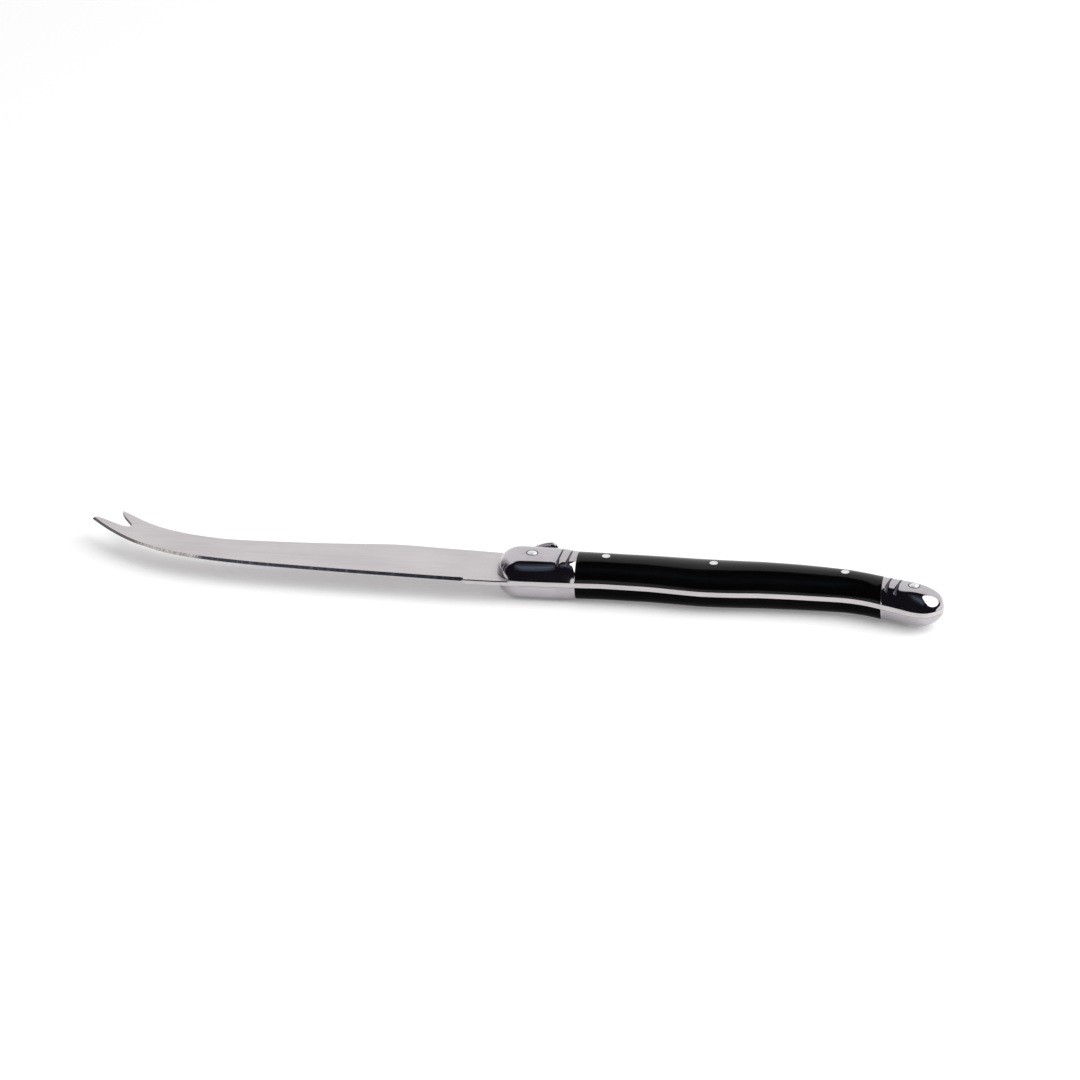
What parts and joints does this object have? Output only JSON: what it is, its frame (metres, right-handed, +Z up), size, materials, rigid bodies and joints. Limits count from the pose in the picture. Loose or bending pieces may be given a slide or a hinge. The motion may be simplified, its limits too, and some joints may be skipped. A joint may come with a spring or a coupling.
{
  "type": "cheese knife",
  "caption": "Curved full-tang cheese knife with a forked tip, ground edge, polished bolsters, glossy scales held by pins, and a small raised tab on the spine.",
  "frame": {"origin": "centre of the flat crest on the underside of the handle, half-way between the bolsters, where the knife lies on the table", "axes": "+X along the handle from the blade to the butt, +Y from the cutting edge to the spine, +Z up, square to the blade's flat"},
  "size_m": [0.231, 0.032, 0.0121],
  "materials": {
    "blade_steel": "satin stainless sheet, ground lengthwise",
    "bolster_steel": "polished to a mirror",
    "scale_black": "glossy black",
    "pin_steel": "bright steel"
  },
  "bodies": {
    "root": {"blade": "blade_steel", "front_bolster_upper": "bolster_steel", "front_bolster_lower": "bolster_steel", "scale_upper": "scale_black", "scale_lower": "scale_black", "rear_bolster_upper": "bolster_steel", "rear_bolster_lower": "bolster_steel", "front_rivet": "pin_steel", "rear_rivet": "pin_steel", "scale_pin_front": "pin_steel", "scale_pin_middle": "pin_steel", "scale_pin_rear": "pin_steel", "spine_catch": "bolster_steel"}
  },
  "joints": []
}
